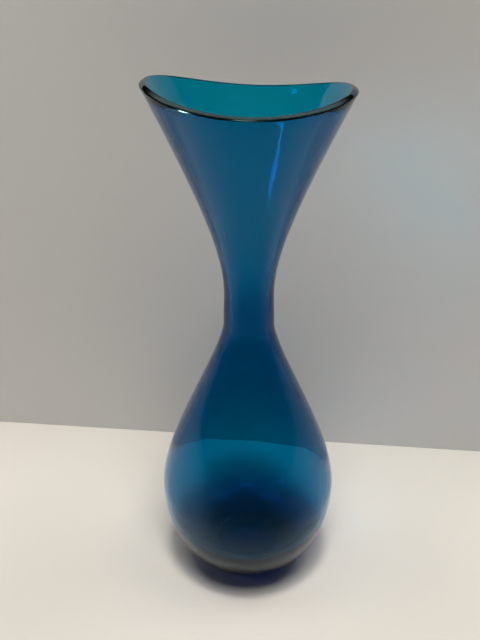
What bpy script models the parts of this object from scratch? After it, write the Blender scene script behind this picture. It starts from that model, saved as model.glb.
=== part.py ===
"""Bud vase blown in one piece of coloured glass, with its walls, its open bore and its ground foot.

The vessel stands on the ground ring of its foot, with its axis on Z and the origin in the middle of the foot.
Its wall is one outline, turned round the axis: a round bulb, a drawn neck and a flared mouth outside,
and the same form inside it at the wall's own thickness. The lip is then drawn down at the front, and more at
the back, so that its two ends stand high along X, the end at -X a little higher than the other.
An outline point holds its distance from the axis in x and its height in y.
"""
import math

import bmesh
import bpy
from mathutils import Vector

# Driving sizes in metres, and angles in degrees
HEIGHT = 0.2332
MOUTH_RADIUS = 0.0418
MOUTH_FLARE_ANGLE = 25.5
NECK_RADIUS = 0.0112
NECK_HEIGHT = 0.1310
BULB_RADIUS = 0.0416
BULB_HEIGHT = 0.0439
FOOT_RADIUS = 0.0210
FOOT_RING_WIDTH = 0.0050
PUNT_HEIGHT = 0.0025

# Thickness of the glass
BASE_WALL = 0.0065
BULB_WALL = 0.0023
NECK_WALL = 0.0036
MOUTH_WALL = 0.0026
LIP_WALL = 0.0027
LIP_CROWN = 0.0005

# How far the lip is drawn down at the front and the back, and how much lower its end at +X is cut
LIP_FRONT_DIP = 0.0055
LIP_BACK_DIP = 0.0069
LIP_LEAN = 0.0024

# How full the lower bulb is outside and inside: 2 is an ellipse, and more than 2 is squarer
BELLY_FULLNESS = 2.21
BOWL_FULLNESS = 2.80

# Reach of each curve's handles, as shares of the stretch that the curve spans
SHOULDER_HANDLE_SHARE = 0.275
NECK_LOWER_HANDLE_SHARE = 0.169
NECK_UPPER_HANDLE_SHARE = 0.209
MOUTH_HANDLE_SHARE = 0.75

# Part of the mouth's height, down from the lip, over which the drawing down of the lip dies away
LIP_DRAW_SHARE = 0.80

# Number of steps round the vase and along each stretch of its outline
TURN_STEPS = 48
PUNT_STEPS = 7
BELLY_STEPS = 12
SHOULDER_STEPS = 20
MOUTH_STEPS = 18
LIP_STEPS = 6
BOWL_STEPS = 12

GLASS_COLOUR = (0.0, 0.15, 0.34, 1.0)
GLASS_ROUGHNESS = 0.03
GLASS_IOR = 1.5


def clear_scene():
    """Removes the objects that a new file starts with."""
    for old_object in list(bpy.data.objects):
        bpy.data.objects.remove(old_object, do_unlink=True)


def curve_points(start, start_handle, end_handle, end, steps):
    """Points of one cubic curve from start to end, both included."""
    points = []
    for step in range(steps + 1):
        t = step / steps
        s = 1.0 - t
        points.append(start * s**3 + start_handle * 3 * s**2 * t + end_handle * 3 * s * t**2 + end * t**3)
    return points


def round_bottom(widest, depth, fullness, angles):
    """Points of a rounded bottom under its widest point, each at an angle down from that point."""
    points = []
    for angle in angles:
        radius = widest.x * math.cos(angle) ** (2 / fullness)
        points.append(Vector((radius, widest.y - depth * math.sin(angle) ** (2 / fullness))))
    return points


def outward(points, index):
    """Unit vector square to the outline at a point, away from the axis on an outline that runs upward."""
    before = points[max(index - 1, 0)]
    after = points[min(index + 1, len(points) - 1)]
    along = (after - before).normalized()
    return Vector((along.y, -along.x))


def ease(share):
    """Goes smoothly from 0 to 1 as the share does, and stays at its ends."""
    share = min(max(share, 0.0), 1.0)
    return share * share * (3.0 - 2.0 * share)


def lip_frame():
    """The end of the outer wall under the lip's crown, and the directions across and along the wall there.

    The crown's highest point is then at HEIGHT and its widest point at MOUTH_RADIUS.
    """
    flare = math.radians(MOUTH_FLARE_ANGLE)
    across = Vector((math.cos(flare), -math.sin(flare)))
    along = Vector((math.sin(flare), math.cos(flare)))
    half = LIP_WALL / 2
    reach_out = math.hypot(half * across.x, LIP_CROWN * along.x)
    reach_up = math.hypot(half * across.y, LIP_CROWN * along.y)
    crown_centre = Vector((MOUTH_RADIUS - reach_out, HEIGHT - reach_up))
    return crown_centre + across * half, across, along


def belly_points():
    """The rounded lower bulb outside, from the edge of the foot up to the bulb's widest ring."""
    foot_share = FOOT_RADIUS / BULB_RADIUS
    depth_share = (1.0 - foot_share**BELLY_FULLNESS) ** (1.0 / BELLY_FULLNESS)
    foot_angle = math.acos(foot_share ** (BELLY_FULLNESS / 2))
    angles = [foot_angle * (1.0 - step / BELLY_STEPS) for step in range(BELLY_STEPS + 1)]
    return round_bottom(Vector((BULB_RADIUS, BULB_HEIGHT)), BULB_HEIGHT / depth_share, BELLY_FULLNESS, angles)


def outer_outline():
    """The outside of the vase from the edge of the foot to the lip, as three stretches of points."""
    bulb = Vector((BULB_RADIUS, BULB_HEIGHT))
    neck = Vector((NECK_RADIUS, NECK_HEIGHT))
    lip, _, lip_along = lip_frame()
    shoulder_rise = NECK_HEIGHT - BULB_HEIGHT
    shoulder = curve_points(
        bulb,
        bulb + Vector((0.0, shoulder_rise * SHOULDER_HANDLE_SHARE)),
        neck - Vector((0.0, shoulder_rise * NECK_LOWER_HANDLE_SHARE)),
        neck,
        SHOULDER_STEPS,
    )
    mouth_rise = lip.y - NECK_HEIGHT
    mouth_reach = mouth_rise * MOUTH_HANDLE_SHARE / lip_along.y
    mouth = curve_points(
        neck,
        neck + Vector((0.0, mouth_rise * NECK_UPPER_HANDLE_SHARE)),
        lip - lip_along * mouth_reach,
        lip,
        MOUTH_STEPS,
    )
    return belly_points(), shoulder, mouth


def set_in(points, first_wall, middle_wall, last_wall):
    """The inner face of one stretch: each point moved in by the wall, which changes smoothly along it."""
    inner = []
    for index, point in enumerate(points):
        share = index / (len(points) - 1)
        if share < 0.5:
            wall = first_wall + (middle_wall - first_wall) * ease(share * 2)
        else:
            wall = middle_wall + (last_wall - middle_wall) * ease(share * 2 - 1)
        inner.append(point - outward(points, index) * wall)
    return inner


def lip_crown():
    """The rounded top of the lip, from the outer wall over to the inner one, without its two ends."""
    outer_end, across, along = lip_frame()
    half = LIP_WALL / 2
    centre = outer_end - across * half
    points = []
    for step in range(1, LIP_STEPS):
        angle = math.pi * step / LIP_STEPS
        points.append(centre + across * (half * math.cos(angle)) + along * (LIP_CROWN * math.sin(angle)))
    return points


def punt():
    """The shallow hollow under the foot, from the axis out to the inner edge of the ring it stands on."""
    ring_inner = FOOT_RADIUS - FOOT_RING_WIDTH
    points = []
    for step in range(PUNT_STEPS + 1):
        share = step / PUNT_STEPS
        points.append(Vector((ring_inner * share, PUNT_HEIGHT * ease(1.0 - share))))
    return points


def bowl(inner_bulb):
    """The inner bottom, from the bulb's widest inner point down to the axis, without that first point."""
    depth = inner_bulb.y - PUNT_HEIGHT - BASE_WALL
    angles = [math.pi / 2 * step / BOWL_STEPS for step in range(1, BOWL_STEPS + 1)]
    return round_bottom(inner_bulb, depth, BOWL_FULLNESS, angles)


def vessel_outline():
    """The whole outline of the glass, from the axis under the foot round to the axis inside the bowl."""
    belly, shoulder, mouth = outer_outline()
    inner_mouth = set_in(mouth, NECK_WALL, MOUTH_WALL, LIP_WALL)
    inner_shoulder = set_in(shoulder, BULB_WALL, (BULB_WALL + NECK_WALL) / 2, NECK_WALL)
    outline = punt()
    outline += belly
    outline += shoulder[1:]
    outline += mouth[1:]
    outline += lip_crown()
    outline += inner_mouth[::-1]
    outline += inner_shoulder[-2::-1]
    outline += bowl(inner_shoulder[0])
    return outline


def draw_down_lip(mesh):
    """Lowers the mouth by its place round the axis, most at the lip and not at all near the neck.

    The dip goes straight down. The lean follows the flare, so the lip's lower end is also nearer the axis.
    """
    draw_depth = (HEIGHT - NECK_HEIGHT) * LIP_DRAW_SHARE
    flare_slope = math.tan(math.radians(MOUTH_FLARE_ANGLE))
    for vertex in mesh.verts:
        place = vertex.co
        radius = math.hypot(place.x, place.y)
        if place.z <= HEIGHT - draw_depth or radius == 0.0:
            continue
        sideways = place.x / radius
        strength = ease(1.0 - (HEIGHT - place.z) / draw_depth)
        side_dip = LIP_FRONT_DIP if place.y < 0.0 else LIP_BACK_DIP
        dip = side_dip * (1.0 - sideways**2) * strength
        lean = LIP_LEAN * (1.0 + sideways) / 2 * strength
        narrowing = 1.0 - lean * flare_slope / radius
        place.x *= narrowing
        place.y *= narrowing
        place.z -= dip + lean


def turn_outline(mesh, outline):
    """Turns an outline that begins and ends on the axis into a closed body in the mesh."""
    axis_start = mesh.verts.new((0.0, 0.0, outline[0].y))
    axis_end = mesh.verts.new((0.0, 0.0, outline[-1].y))
    rings = []
    for point in outline[1:-1]:
        ring = []
        for step in range(TURN_STEPS):
            angle = 2 * math.pi * step / TURN_STEPS
            ring.append(mesh.verts.new((point.x * math.cos(angle), point.x * math.sin(angle), point.y)))
        rings.append(ring)
    for step in range(TURN_STEPS):
        following = (step + 1) % TURN_STEPS
        mesh.faces.new((axis_start, rings[0][following], rings[0][step]))
        mesh.faces.new((axis_end, rings[-1][step], rings[-1][following]))
        for lower, upper in zip(rings, rings[1:]):
            mesh.faces.new((lower[step], lower[following], upper[following], upper[step]))


def glass_material():
    """Clear glass coloured through, by its colour, roughness and refraction."""
    material = bpy.data.materials.new("blue_green_glass")
    material.use_nodes = True
    shader = material.node_tree.nodes["Principled BSDF"]
    shader.inputs["Base Color"].default_value = GLASS_COLOUR
    shader.inputs["Roughness"].default_value = GLASS_ROUGHNESS
    shader.inputs["Metallic"].default_value = 0.0
    shader.inputs["IOR"].default_value = GLASS_IOR
    shader.inputs["Transmission Weight"].default_value = 1.0
    return material


def make_vessel():
    """The blown vessel, the one piece of the vase."""
    mesh = bmesh.new()
    turn_outline(mesh, vessel_outline())
    draw_down_lip(mesh)
    bmesh.ops.recalc_face_normals(mesh, faces=mesh.faces)
    data = bpy.data.meshes.new("glass_vessel")
    mesh.to_mesh(data)
    mesh.free()
    data.shade_smooth()
    data.set_sharp_from_angle(angle=math.radians(MOUTH_FLARE_ANGLE))
    data.materials.append(glass_material())
    vessel = bpy.data.objects.new("glass_vessel", data)
    bpy.context.collection.objects.link(vessel)
    return vessel


def main():
    """Clears the scene and makes the vase."""
    clear_scene()
    make_vessel()


main()
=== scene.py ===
"""Bud vase of teal blue glass, standing on a pale table before a pale wall, as the photograph shows it.

The vase is one blown piece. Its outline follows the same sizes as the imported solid, and a node tree turns it
round the axis and draws its lip down. The glass is clear at its surface and coloured through by absorption.
"""

import logging
import math
from dataclasses import dataclass, field
from enum import Enum
from typing import Iterable

import bpy
from mathutils import Matrix, Vector


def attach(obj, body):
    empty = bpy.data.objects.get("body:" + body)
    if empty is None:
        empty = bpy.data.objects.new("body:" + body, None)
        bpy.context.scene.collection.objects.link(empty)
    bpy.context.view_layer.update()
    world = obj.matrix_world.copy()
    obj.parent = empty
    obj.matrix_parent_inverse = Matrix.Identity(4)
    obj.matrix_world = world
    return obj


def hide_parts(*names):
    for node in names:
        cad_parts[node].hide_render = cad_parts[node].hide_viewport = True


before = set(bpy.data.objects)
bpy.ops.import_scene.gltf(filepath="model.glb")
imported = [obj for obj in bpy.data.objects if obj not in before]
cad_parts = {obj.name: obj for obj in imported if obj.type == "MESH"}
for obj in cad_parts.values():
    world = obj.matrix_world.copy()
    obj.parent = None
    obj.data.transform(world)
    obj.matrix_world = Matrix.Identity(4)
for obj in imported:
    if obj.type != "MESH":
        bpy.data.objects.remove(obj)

logging.basicConfig(level=logging.INFO, format="%(message)s")
LOG = logging.getLogger("bud_vase")

Colour = tuple[float, float, float]

MM = 0.001
ROOT_BODY = "root"
GLASS_NODE = "glass_vessel"
LIP_MARK = "polished_lip"
GRID_SIDE = 1.0


class SocketKind(Enum):
    """The kinds of input that a node tree takes, by Blender's names for them."""

    NUMBER = "NodeSocketFloat"
    COUNT = "NodeSocketInt"
    SHAPE = "NodeSocketObject"
    FINISH = "NodeSocketMaterial"


def ease(share: float) -> float:
    """Goes smoothly from 0 to 1 as the share does.

    Args:
        share: Any number; below 0 it counts as 0, and above 1 as 1.

    Returns:
        The eased share, from 0 to 1.
    """
    share = min(max(share, 0.0), 1.0)
    return share * share * (3.0 - 2.0 * share)


def cubic(start: Vector, start_handle: Vector, end_handle: Vector, end: Vector, steps: int) -> list[Vector]:
    """Points of one cubic curve.

    Args:
        start: First point.
        start_handle: Handle that the curve leaves the first point towards.
        end_handle: Handle that it reaches the last point from.
        end: Last point.
        steps: Number of equal steps of the curve's own parameter.

    Returns:
        One point more than the steps, both ends included.
    """
    points = []
    for step in range(steps + 1):
        t = step / steps
        s = 1.0 - t
        points.append(start * s**3 + start_handle * 3 * s**2 * t + end_handle * 3 * s * t**2 + end * t**3)
    return points


@dataclass
class WallOutline:
    """The outline of the glass wall: an outline point holds its distance from the axis and its height.

    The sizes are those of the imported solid, in metres, and angles are in degrees.
    """

    height: float = 233.2 * MM
    mouth_radius: float = 41.8 * MM
    mouth_flare: float = 25.5
    neck_radius: float = 11.2 * MM
    neck_height: float = 131.0 * MM
    bulb_radius: float = 41.6 * MM
    bulb_height: float = 43.9 * MM
    foot_radius: float = 21.0 * MM
    foot_ring_width: float = 5.0 * MM
    punt_height: float = 2.5 * MM
    base_wall: float = 6.5 * MM
    bulb_wall: float = 2.3 * MM
    neck_wall: float = 3.6 * MM
    mouth_wall: float = 2.6 * MM
    lip_wall: float = 2.7 * MM
    lip_crown: float = 0.5 * MM
    belly_fullness: float = 2.21
    bowl_fullness: float = 2.80
    shoulder_share: float = 0.275
    neck_lower_share: float = 0.169
    neck_upper_share: float = 0.209
    mouth_share: float = 0.75
    long_steps: int = 56
    short_steps: int = 24

    def round_bottom(
        self, widest: Vector, depth: float, fullness: float, angles: Iterable[float]
    ) -> list[Vector]:
        """Points of a rounded bottom under its widest point.

        Args:
            widest: The widest point of the bottom.
            depth: How far down the bottom would go at the axis.
            fullness: 2 for an ellipse, and more for a squarer bottom.
            angles: The angle down from the widest point of each point wanted.

        Returns:
            One point for each angle.
        """
        points = []
        for angle in angles:
            radius = widest.x * max(math.cos(angle), 0.0) ** (2 / fullness)
            points.append(Vector((radius, widest.y - depth * math.sin(angle) ** (2 / fullness))))
        return points

    def lip_frame(self) -> tuple[Vector, Vector, Vector]:
        """The outer wall's end under the lip's crown.

        Returns:
            That point, and the directions across and along the wall there.
        """
        flare = math.radians(self.mouth_flare)
        across = Vector((math.cos(flare), -math.sin(flare)))
        along = Vector((math.sin(flare), math.cos(flare)))
        half = self.lip_wall / 2
        reach_out = math.hypot(half * across.x, self.lip_crown * along.x)
        reach_up = math.hypot(half * across.y, self.lip_crown * along.y)
        centre = Vector((self.mouth_radius - reach_out, self.height - reach_up))
        return centre + across * half, across, along

    def punt(self) -> list[Vector]:
        """The hollow under the foot.

        Returns:
            Its points, from the axis out to the ring that the vase stands on.
        """
        ring_inner = self.foot_radius - self.foot_ring_width
        steps = self.short_steps // 2
        points = []
        for step in range(steps + 1):
            share = step / steps
            points.append(Vector((ring_inner * share, self.punt_height * ease(1.0 - share))))
        return points

    def belly(self) -> list[Vector]:
        """The rounded lower bulb outside.

        Returns:
            Its points, from the edge of the foot up to the widest ring.
        """
        foot_share = self.foot_radius / self.bulb_radius
        depth_share = (1.0 - foot_share**self.belly_fullness) ** (1.0 / self.belly_fullness)
        foot_angle = math.acos(foot_share ** (self.belly_fullness / 2))
        angles = [foot_angle * (1.0 - step / self.short_steps) for step in range(self.short_steps + 1)]
        widest = Vector((self.bulb_radius, self.bulb_height))
        return self.round_bottom(widest, self.bulb_height / depth_share, self.belly_fullness, angles)

    def shoulder(self) -> list[Vector]:
        """The drawn shoulder outside.

        Returns:
            Its points, from the bulb's widest ring up to the neck.
        """
        bulb = Vector((self.bulb_radius, self.bulb_height))
        neck = Vector((self.neck_radius, self.neck_height))
        rise = self.neck_height - self.bulb_height
        return cubic(
            bulb,
            bulb + Vector((0.0, rise * self.shoulder_share)),
            neck - Vector((0.0, rise * self.neck_lower_share)),
            neck,
            self.long_steps,
        )

    def mouth(self) -> list[Vector]:
        """The flared mouth outside.

        Returns:
            Its points, from the neck up to the lip.
        """
        neck = Vector((self.neck_radius, self.neck_height))
        lip, _, lip_along = self.lip_frame()
        rise = lip.y - self.neck_height
        return cubic(
            neck,
            neck + Vector((0.0, rise * self.neck_upper_share)),
            lip - lip_along * (rise * self.mouth_share / lip_along.y),
            lip,
            self.long_steps,
        )

    def crown(self) -> list[Vector]:
        """The rounded top of the lip.

        Returns:
            Its points, from the outer wall over to the inner one, without the two ends.
        """
        outer_end, across, along = self.lip_frame()
        half = self.lip_wall / 2
        centre = outer_end - across * half
        points = []
        for step in range(1, self.short_steps):
            angle = math.pi * step / self.short_steps
            rise = self.lip_crown * math.sin(angle)
            points.append(centre + across * (half * math.cos(angle)) + along * rise)
        return points

    def lip_start(self) -> int:
        """The number, counted from 0, of the outline point where the outer wall ends at the lip's crown."""
        return len(self.outer_side()) - 1

    def set_in(self, points: list[Vector], first: float, middle: float, last: float) -> list[Vector]:
        """The inner face of one stretch of the outer one.

        Args:
            points: The outer stretch, running upward.
            first: The wall at its first point.
            middle: The wall half way.
            last: The wall at its last point.

        Returns:
            The points moved square to the stretch by the wall.
        """
        inner = []
        for index, point in enumerate(points):
            share = index / (len(points) - 1)
            if share < 0.5:
                wall = first + (middle - first) * ease(share * 2)
            else:
                wall = middle + (last - middle) * ease(share * 2 - 1)
            before = points[max(index - 1, 0)]
            after = points[min(index + 1, len(points) - 1)]
            along = (after - before).normalized()
            inner.append(point - Vector((along.y, -along.x)) * wall)
        return inner

    def bowl(self, inner_bulb: Vector) -> list[Vector]:
        """The inner bottom, down from the bulb's widest inner point.

        Args:
            inner_bulb: That widest point, which isn't repeated.

        Returns:
            The points down to the axis.
        """
        depth = inner_bulb.y - self.punt_height - self.base_wall
        steps = self.long_steps
        angles = [math.pi / 2 * step / steps for step in range(1, steps + 1)]
        points = self.round_bottom(inner_bulb, depth, self.bowl_fullness, angles)
        points[-1].x = 0.0
        return points

    def outer_side(self) -> list[Vector]:
        """The outer face, whose stretches share the points where they meet."""
        return self.punt() + self.belly() + self.shoulder()[1:] + self.mouth()[1:]

    def inner_side(self) -> list[Vector]:
        """The inner face.

        Returns:
            Its points, from the lip down to the axis inside the bowl.
        """
        middle_wall = (self.bulb_wall + self.neck_wall) / 2
        mouth = self.set_in(self.mouth(), self.neck_wall, self.mouth_wall, self.lip_wall)
        shoulder = self.set_in(self.shoulder(), self.bulb_wall, middle_wall, self.neck_wall)
        return mouth[::-1] + shoulder[-2::-1] + self.bowl(shoulder[0])

    def points(self) -> list[Vector]:
        """The whole outline, from the axis under the foot round to the axis inside the bowl."""
        return self.outer_side() + self.crown() + self.inner_side()


class NodeTree:
    """A geometry or shader node tree that is written line by line."""

    def __init__(self, tree: bpy.types.NodeTree) -> None:
        """Keeps the tree that nodes are added to."""
        self.tree = tree

    def add(self, kind: str, inputs: dict | None = None, **settings: object) -> bpy.types.Node:
        """Adds one node.

        Args:
            kind: The node's type.
            inputs: What goes into its sockets, by name or number: a value, or another node's output.
            settings: Its other properties.

        Returns:
            The node.
        """
        node = self.tree.nodes.new(kind)
        for name, value in settings.items():
            setattr(node, name, value)
        for key, value in (inputs or {}).items():
            if isinstance(value, bpy.types.NodeSocket):
                self.tree.links.new(value, node.inputs[key])
            else:
                node.inputs[key].default_value = value
        return node

    def math(self, operation: str, *values: object) -> bpy.types.NodeSocket:
        """Adds one sum.

        Args:
            operation: Its name, such as MULTIPLY.
            values: Numbers, or other nodes' outputs.

        Returns:
            The result.
        """
        return self.add("ShaderNodeMath", dict(enumerate(values)), operation=operation).outputs[0]

    def blend(self, share: object, first: object, second: object) -> bpy.types.NodeSocket:
        """Mixes two colours.

        Args:
            share: The share of the second colour, as a number or another node's output.
            first: The colour at 0, or another node's output.
            second: The colour at 1, or another node's output.

        Returns:
            The mixed colour.
        """
        colours = [(*colour, 1.0) if isinstance(colour, tuple) else colour for colour in (first, second)]
        inputs = {"Factor": share, 6: colours[0], 7: colours[1]}
        return self.add("ShaderNodeMix", inputs, data_type="RGBA").outputs[2]

    def noise(self, place: bpy.types.NodeSocket, scale: float, detail: float) -> bpy.types.NodeSocket:
        """Adds a noise pattern.

        Args:
            place: The position that it is read at.
            scale: Its count of patches over one metre.
            detail: Its levels of finer patches.

        Returns:
            The pattern's value.
        """
        inputs = {"Vector": place, "Scale": scale, "Detail": detail}
        return self.add("ShaderNodeTexNoise", inputs).outputs["Fac"]

    def rise(self, value: object, start: object, end: object) -> bpy.types.NodeSocket:
        """Adds a smooth rise.

        Args:
            value: What rises, as another node's output.
            start: The value at which the result leaves 0.
            end: The value at which it reaches 1.

        Returns:
            The result, from 0 to 1.
        """
        inputs = {"Value": value, "From Min": start, "From Max": end}
        return self.add("ShaderNodeMapRange", inputs, interpolation_type="SMOOTHSTEP").outputs["Result"]


@dataclass(frozen=True)
class TealGlass:
    """Glass coloured through, with faint drawn lines and smudges in its fire-polished skin.

    The reflected colours tint head-on reflections. Roughness goes from smooth to smudged over the range of
    the marks' noise, and is at least ground on the lip. Noise scales are counts over one metre.
    """

    name: str = "blue_green_glass"
    ior: float = 1.5
    absorbed: Colour = (0.0, 0.866, 0.931)
    density: float = 2200.0
    reflected: Colour = (0.02, 0.23, 0.44)
    lip_reflected: Colour = (0.4, 1.0, 1.0)
    smooth: float = 0.0
    smudged: float = 0.03
    ground: float = 0.06
    line_scale: float = 220.0
    line_detail: float = 3.0
    line_squash: float = 0.05
    line_strength: float = 0.25
    line_height: float = 0.1 * MM
    mark_scale: float = 60.0
    mark_detail: float = 4.0
    mark_start: float = 0.55
    mark_end: float = 0.80

    def build(self) -> bpy.types.Material:
        """Makes the material.

        Returns:
            The glass.
        """
        material = bpy.data.materials.new(self.name)
        material.use_nodes = True
        material.node_tree.nodes.clear()
        nodes = NodeTree(material.node_tree)
        place = nodes.add("ShaderNodeTexCoord").outputs["Object"]
        upright = {"Vector": place, "Scale": (1.0, 1.0, self.line_squash)}
        drawn = nodes.add("ShaderNodeMapping", upright).outputs["Vector"]
        lines = nodes.noise(drawn, self.line_scale, self.line_detail)
        bump = nodes.add(
            "ShaderNodeBump",
            {"Height": lines, "Strength": self.line_strength, "Distance": self.line_height},
        ).outputs["Normal"]
        marks = nodes.noise(place, self.mark_scale, self.mark_detail)
        mark_range = {"Value": marks, "From Min": self.mark_start, "From Max": self.mark_end}
        roughness = nodes.add(
            "ShaderNodeMapRange", {**mark_range, "To Min": self.smooth, "To Max": self.smudged}
        ).outputs["Result"]
        on_lip = nodes.add("ShaderNodeAttribute", attribute_name=LIP_MARK).outputs["Fac"]
        roughness = nodes.math("MAXIMUM", roughness, nodes.math("MULTIPLY", on_lip, self.ground))
        sheen = nodes.blend(on_lip, self.reflected, self.lip_reflected)
        surface = nodes.add(
            "ShaderNodeBsdfPrincipled",
            {"Base Color": (1.0, 1.0, 1.0, 1.0), "Roughness": roughness, "IOR": self.ior,
             "Transmission Weight": 1.0, "Specular Tint": sheen, "Normal": bump},
        ).outputs["BSDF"]
        body = nodes.add(
            "ShaderNodeVolumeAbsorption", {"Color": (*self.absorbed, 1.0), "Density": self.density}
        ).outputs["Volume"]
        nodes.add("ShaderNodeOutputMaterial", {"Surface": surface, "Volume": body})
        return material


@dataclass(frozen=True)
class PaleSurface:
    """A matt pale surface of the stage, such as the table or the wall."""

    name: str
    colour: Colour
    roughness: float = 0.6
    sheen: float = 0.3
    cloud_scale: float = 6.0
    cloud_detail: float = 5.0
    cloud_shade: float = 0.97
    shows_back: bool = True

    def build(self) -> bpy.types.Material:
        """Makes the material.

        Returns:
            The finish, which lets a view from behind it through where its back isn't shown.
        """
        material = bpy.data.materials.new(self.name)
        material.use_nodes = True
        material.node_tree.nodes.clear()
        nodes = NodeTree(material.node_tree)
        place = nodes.add("ShaderNodeTexCoord").outputs["Object"]
        cloud = nodes.noise(place, self.cloud_scale, self.cloud_detail)
        tint = nodes.blend(cloud, tuple(self.cloud_shade * part for part in self.colour), self.colour)
        surface = nodes.add(
            "ShaderNodeBsdfPrincipled",
            {"Base Color": tint, "Roughness": self.roughness, "Specular IOR Level": self.sheen},
        ).outputs["BSDF"]
        if not self.shows_back:
            back = nodes.add("ShaderNodeNewGeometry").outputs["Backfacing"]
            clear = nodes.add("ShaderNodeBsdfTransparent").outputs["BSDF"]
            surface = nodes.add("ShaderNodeMixShader", {"Fac": back, 1: surface, 2: clear}).outputs["Shader"]
        nodes.add("ShaderNodeOutputMaterial", {"Surface": surface})
        return material


class TurnedWall:
    """The node tree that turns an outline round the axis and draws the lip down."""

    def __init__(self) -> None:
        """Writes the tree."""
        self.group = bpy.data.node_groups.new("turned_glass_wall", "GeometryNodeTree")
        self.sockets: dict[str, str] = {}
        for name, kind in (
            ("Outline", SocketKind.SHAPE),
            ("Outline Points", SocketKind.COUNT),
            ("Turn Steps", SocketKind.COUNT),
            ("Lip Height", SocketKind.NUMBER),
            ("Draw Depth", SocketKind.NUMBER),
            ("Front Dip", SocketKind.NUMBER),
            ("Back Dip", SocketKind.NUMBER),
            ("Lip Lean", SocketKind.NUMBER),
            ("Flare Slope", SocketKind.NUMBER),
            ("Weld Distance", SocketKind.NUMBER),
            ("Lip Start", SocketKind.COUNT),
            ("Lip End", SocketKind.COUNT),
            ("Glass", SocketKind.FINISH),
        ):
            socket = self.group.interface.new_socket(name, in_out="INPUT", socket_type=kind.value)
            self.sockets[name] = socket.identifier
        self.group.interface.new_socket("Wall", in_out="OUTPUT", socket_type="NodeSocketGeometry")
        self.write()

    def write(self) -> None:
        """Adds the nodes: a grid whose rows are the outline's points and whose columns go round the axis."""
        nodes = NodeTree(self.group)
        size = nodes.add("NodeGroupInput").outputs
        columns = nodes.math("ADD", size["Turn Steps"], 1.0)
        grid = nodes.add(
            "GeometryNodeMeshGrid",
            {"Size X": GRID_SIDE, "Size Y": GRID_SIDE, "Vertices X": size["Outline Points"],
             "Vertices Y": columns},
        ).outputs["Mesh"]
        outline = nodes.add("GeometryNodeObjectInfo", {"Object": size["Outline"]}).outputs["Geometry"]
        position = nodes.add("GeometryNodeInputPosition").outputs[0]
        here = nodes.add("ShaderNodeSeparateXYZ", {0: position}).outputs
        last_row = nodes.math("SUBTRACT", size["Outline Points"], 1.0)
        across_rows = nodes.math("ADD", here["X"], GRID_SIDE / 2)
        across_columns = nodes.math("ADD", here["Y"], GRID_SIDE / 2)
        row = nodes.math("ROUND", nodes.math("MULTIPLY", across_rows, last_row))
        turn = nodes.math("MULTIPLY", across_columns, 2 * math.pi)
        point = nodes.add(
            "GeometryNodeSampleIndex",
            {"Geometry": outline, "Value": position, "Index": row},
            data_type="FLOAT_VECTOR",
            domain="POINT",
        ).outputs["Value"]
        place = nodes.add("ShaderNodeSeparateXYZ", {0: point}).outputs
        cosine = nodes.math("COSINE", turn)
        sine = nodes.math("SINE", turn)
        draw_from = nodes.math("SUBTRACT", size["Lip Height"], size["Draw Depth"])
        strength = nodes.rise(place["Z"], draw_from, size["Lip Height"])
        at_front = nodes.math("LESS_THAN", sine, 0.0)
        deepest = nodes.add(
            "ShaderNodeMapRange", {"Value": at_front, "To Min": size["Back Dip"], "To Max": size["Front Dip"]}
        ).outputs["Result"]
        full_dip = nodes.math("MULTIPLY", deepest, nodes.math("POWER", sine, 2.0))
        dip = nodes.math("MULTIPLY", full_dip, strength)
        side = nodes.math("MULTIPLY", nodes.math("ADD", cosine, 1.0), 0.5)
        lean = nodes.math("MULTIPLY", nodes.math("MULTIPLY", size["Lip Lean"], side), strength)
        radius = nodes.math("SUBTRACT", place["X"], nodes.math("MULTIPLY", lean, size["Flare Slope"]))
        height = nodes.math("SUBTRACT", nodes.math("SUBTRACT", place["Z"], dip), lean)
        turned_x = nodes.math("MULTIPLY", radius, cosine)
        turned_y = nodes.math("MULTIPLY", radius, sine)
        turned_place = {"X": turned_x, "Y": turned_y, "Z": height}
        turned = nodes.add("ShaderNodeCombineXYZ", turned_place).outputs["Vector"]
        past_start = nodes.math("GREATER_THAN", row, size["Lip Start"])
        on_lip = nodes.math("MULTIPLY", past_start, nodes.math("LESS_THAN", row, size["Lip End"]))
        marked = nodes.add(
            "GeometryNodeStoreNamedAttribute", {"Geometry": grid, "Name": LIP_MARK, "Value": on_lip}
        ).outputs[0]
        placed = nodes.add("GeometryNodeSetPosition", {"Geometry": marked, "Position": turned}).outputs[0]
        welded = nodes.add(
            "GeometryNodeMergeByDistance", {"Geometry": placed, "Distance": size["Weld Distance"]}
        ).outputs[0]
        faced = nodes.add("GeometryNodeFlipFaces", {"Mesh": welded}).outputs[0]
        smooth = nodes.add("GeometryNodeSetShadeSmooth", {"Geometry": faced}).outputs[0]
        real = nodes.add("GeometryNodeRealizeInstances", {"Geometry": smooth}).outputs[0]
        dressed = nodes.add(
            "GeometryNodeSetMaterial", {"Geometry": real, "Material": size["Glass"]}
        ).outputs[0]
        nodes.add("NodeGroupOutput", {"Wall": dressed})


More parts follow.
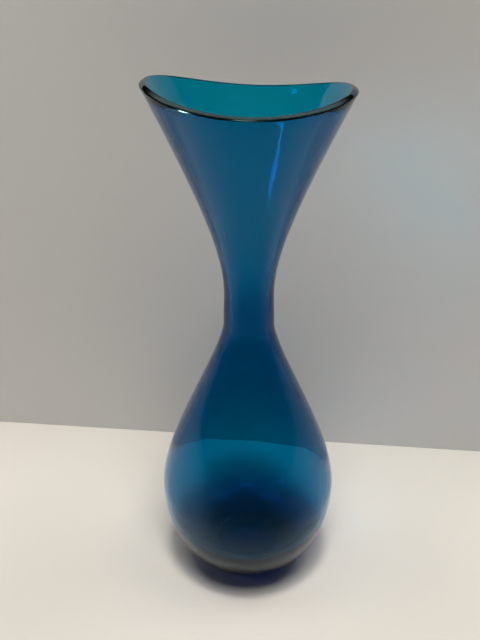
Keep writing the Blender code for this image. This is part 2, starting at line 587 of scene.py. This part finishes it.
@dataclass
class BlownVessel:
    """The vase itself: one wall of blown glass from the foot to the lip."""

    outline: WallOutline = field(default_factory=WallOutline)
    glass: TealGlass = field(default_factory=TealGlass)
    lip_front_dip: float = 5.5 * MM
    lip_back_dip: float = 6.9 * MM
    lip_lean: float = 2.4 * MM
    lip_draw_share: float = 0.80
    turn_steps: int = 224
    weld: float = 0.001 * MM

    def outline_object(self) -> bpy.types.Object:
        """Makes the outline as a line of points in the XZ plane.

        Returns:
            An object that only the node tree reads.
        """
        points = self.outline.points()
        mesh = bpy.data.meshes.new("wall_outline")
        mesh.from_pydata(
            [(point.x, 0.0, point.y) for point in points],
            [(index, index + 1) for index in range(len(points) - 1)],
            [],
        )
        return bpy.data.objects.new("wall_outline", mesh)

    def build(self) -> bpy.types.Object:
        """Turns the outline and dresses the wall.

        Returns:
            The finished piece, riding on the root body in place of its solid.
        """
        guide = self.outline_object()
        tree = TurnedWall()
        start = bpy.data.objects.new("wall_start", bpy.data.meshes.new("wall_start"))
        bpy.context.collection.objects.link(start)
        modifier = start.modifiers.new("turned_glass_wall", "NODES")
        modifier.node_group = tree.group
        height_above_neck = self.outline.height - self.outline.neck_height
        for name, value in (
            ("Outline", guide),
            ("Outline Points", len(guide.data.vertices)),
            ("Turn Steps", self.turn_steps),
            ("Lip Height", self.outline.height),
            ("Draw Depth", height_above_neck * self.lip_draw_share),
            ("Front Dip", self.lip_front_dip),
            ("Back Dip", self.lip_back_dip),
            ("Lip Lean", self.lip_lean),
            ("Flare Slope", math.tan(math.radians(self.outline.mouth_flare))),
            ("Weld Distance", self.weld),
            ("Lip Start", self.outline.lip_start()),
            ("Lip End", self.outline.lip_start() + self.outline.short_steps),
            ("Glass", self.glass.build()),
        ):
            modifier[tree.sockets[name]] = value
        evaluated = start.evaluated_get(bpy.context.evaluated_depsgraph_get())
        mesh = bpy.data.meshes.new_from_object(evaluated)
        mesh.name = "blown_vessel"
        start.modifiers.remove(modifier)
        bpy.data.objects.remove(start)
        bpy.data.objects.remove(guide)
        vessel = bpy.data.objects.new("blown_vessel", mesh)
        bpy.context.collection.objects.link(vessel)
        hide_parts(GLASS_NODE)
        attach(vessel, ROOT_BODY)
        LOG.info("blown_vessel: %d faces, %d points", len(mesh.polygons), len(mesh.vertices))
        return vessel


@dataclass
class Viewpoint:
    """Where the photograph was taken from: lengths in metres, angles in degrees, focus in picture rows.

    The sensor's size is in the camera's own unit, thousandths of a metre.
    """

    distance: float = 275.2 * MM
    height: float = 272.5 * MM
    aside: float = -3.9 * MM
    pitch: float = 27.17
    turn: float = 2.8
    focus_rows: float = 700.0
    picture_rows: float = 640.0
    sensor: float = 36.0
    near_limit: float = 5 * MM

    def heading(self) -> Matrix:
        """The turn round the vase's axis, from the object's front to the photograph's."""
        return Matrix.Rotation(math.radians(self.turn), 4, "Z")

    def build(self) -> bpy.types.Object:
        """Makes the camera.

        Returns:
            The scene's camera.
        """
        data = bpy.data.cameras.new("viewpoint")
        data.sensor_width = self.sensor
        data.lens = self.focus_rows / self.picture_rows * self.sensor
        data.clip_start = self.near_limit
        camera = bpy.data.objects.new("viewpoint", data)
        bpy.context.collection.objects.link(camera)
        place = Matrix.Translation((self.aside, -self.distance, self.height))
        tilt = Matrix.Rotation(math.radians(90.0 - self.pitch), 4, "X")
        camera.matrix_world = self.heading() @ place @ tilt
        bpy.context.scene.camera = camera
        LOG.info("viewpoint: %.0f mm from the axis, lens %.1f mm", self.distance / MM, data.lens)
        return camera


@dataclass(frozen=True)
class SoftLight:
    """One rectangular light that faces the vase.

    It leans from upright to the right and towards the camera, by angles in degrees. Its sides and its
    distance from the foot are in metres, and its power is in watts.
    """

    name: str
    lean_right: float
    lean_near: float
    width: float
    depth: float
    power: float
    distance: float = 5.0
    only_reflected: bool = False

    def build(self, heading: Matrix) -> bpy.types.Object:
        """Makes the light.

        Args:
            heading: The turn from the vase's front to the camera's side.

        Returns:
            The light, which is seen either in reflections alone or by all but the camera and reflections.
        """
        data = bpy.data.lights.new(self.name, "AREA")
        data.shape = "RECTANGLE"
        data.size, data.size_y = self.width, self.depth
        data.energy = self.power
        light = bpy.data.objects.new(self.name, data)
        bpy.context.collection.objects.link(light)
        right, near = math.tan(math.radians(self.lean_right)), math.tan(math.radians(self.lean_near))
        away = Vector((right, -near, 1.0)).normalized()
        upright = away.cross(Vector((1.0, 0.0, 0.0))).normalized()
        facing = Matrix((upright.cross(away), upright, away)).transposed().to_4x4()
        light.matrix_world = heading @ Matrix.Translation(away * self.distance) @ facing
        light.visible_camera = False
        light.visible_glossy = self.only_reflected
        light.visible_diffuse = not self.only_reflected
        return light


@dataclass
class Studio:
    """The table, the wall and the light round the vase."""

    viewpoint: Viewpoint
    wall_distance: float = 90.6 * MM
    wall_turn: float = -5.9
    wall_height: float = 280.0 * MM
    reach: float = 2500.0 * MM
    table_colour: Colour = (0.68, 0.63, 0.555)
    wall_colour: Colour = (0.74, 0.725, 0.70)
    shade_colour: Colour = (0.014, 0.017, 0.026)
    room_colour: Colour = (0.40, 0.385, 0.365)
    dim_room_colour: Colour = (0.02, 0.02, 0.022)
    ceiling_colour: Colour = (1.15, 1.2, 1.2)
    ceiling_behind: tuple[float, float] = (0.05, 0.35)
    ceiling_above: tuple[float, float] = (0.5, 0.8)
    lights: tuple[SoftLight, ...] = (
        SoftLight("ceiling_lamp", 0.5, 7.6, 0.82, 0.50, 107.0),
        SoftLight("front_softbox", 1.3, 15.8, 1.6, 1.0, 85.0),
        SoftLight("left_softbox", -20.0, -5.0, 1.5, 1.5, 39.0),
        SoftLight("right_softbox", 24.0, -5.0, 1.7, 2.0, 59.0),
        SoftLight("side_window", -51.8, 30.6, 0.20, 0.24, 58.0, 1.5, only_reflected=True),
    )

    def sheet(self, name: str, corners: list[Vector], finish: PaleSurface) -> bpy.types.Object:
        """Makes one flat stage piece.

        Args:
            name: Its name.
            corners: Its corners, anticlockwise as seen from its face.
            finish: Its surface.

        Returns:
            The piece, marked as stage.
        """
        mesh = bpy.data.meshes.new(name)
        mesh.from_pydata([tuple(corner) for corner in corners], [], [tuple(range(len(corners)))])
        mesh.materials.append(finish.build())
        sheet = bpy.data.objects.new(name, mesh)
        bpy.context.collection.objects.link(sheet)
        return sheet

    def table(self) -> None:
        """The table, which the foot stands on."""
        r = self.reach
        corners = [Vector((x, y, 0.0)) for x, y in ((-r, -r), (r, -r), (r, r), (-r, r))]
        self.sheet("table", corners, PaleSurface("pale_table", self.table_colour))

    def wall(self) -> None:
        """The wall behind the vase, which hides nothing from the views behind it."""
        turn = self.viewpoint.heading() @ Matrix.Rotation(math.radians(self.wall_turn), 4, "Z")
        place = turn @ Matrix.Translation((0.0, self.wall_distance, 0.0))
        r, h = self.reach, self.wall_height
        corners = [place @ Vector(c) for c in ((-r, 0, 0), (r, 0, 0), (r, 0, h), (-r, 0, h))]
        self.sheet("wall", corners, PaleSurface("pale_wall", self.wall_colour, shows_back=False))

    def world(self) -> None:
        """The room beyond the stage.

        The camera and what the glass lets through see it pale. Reflections see it dim, with a bright ceiling
        over the far side, and to all else it is nearly dark.
        """
        world = bpy.data.worlds.new("room")
        world.use_nodes = True
        world.node_tree.nodes.clear()
        nodes = NodeTree(world.node_tree)
        path = nodes.add("ShaderNodeLightPath").outputs
        seen = nodes.math("MAXIMUM", path["Is Camera Ray"], path["Is Transmission Ray"])
        direction = nodes.add("ShaderNodeTexCoord").outputs["Generated"]
        towards = nodes.add("ShaderNodeSeparateXYZ", {0: direction}).outputs
        behind = nodes.rise(towards["Y"], *self.ceiling_behind)
        above = nodes.rise(towards["Z"], *self.ceiling_above)
        overhead = nodes.math("MULTIPLY", above, behind)
        ceiling = nodes.blend(overhead, self.dim_room_colour, self.ceiling_colour)
        dim = nodes.blend(path["Is Glossy Ray"], self.shade_colour, ceiling)
        colour = nodes.blend(seen, dim, self.room_colour)
        back = nodes.add("ShaderNodeBackground", {"Color": colour}).outputs[0]
        nodes.add("ShaderNodeOutputWorld", {"Surface": back})
        bpy.context.scene.world = world

    def build(self) -> None:
        """Sets the stage and the light."""
        self.table()
        self.wall()
        self.world()
        for light in self.lights:
            light.build(self.viewpoint.heading())
        scene = bpy.context.scene
        scene.view_settings.view_transform = "Standard"
        scene.cycles.caustics_refractive = True
        scene.cycles.caustics_reflective = False
        LOG.info("studio: table, wall and %d lights", len(self.lights))


def main() -> None:
    """Builds the vase, the viewpoint and the studio."""
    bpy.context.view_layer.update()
    BlownVessel().build()
    viewpoint = Viewpoint()
    viewpoint.build()
    Studio(viewpoint).build()


if __name__ == "__main__":
    main()
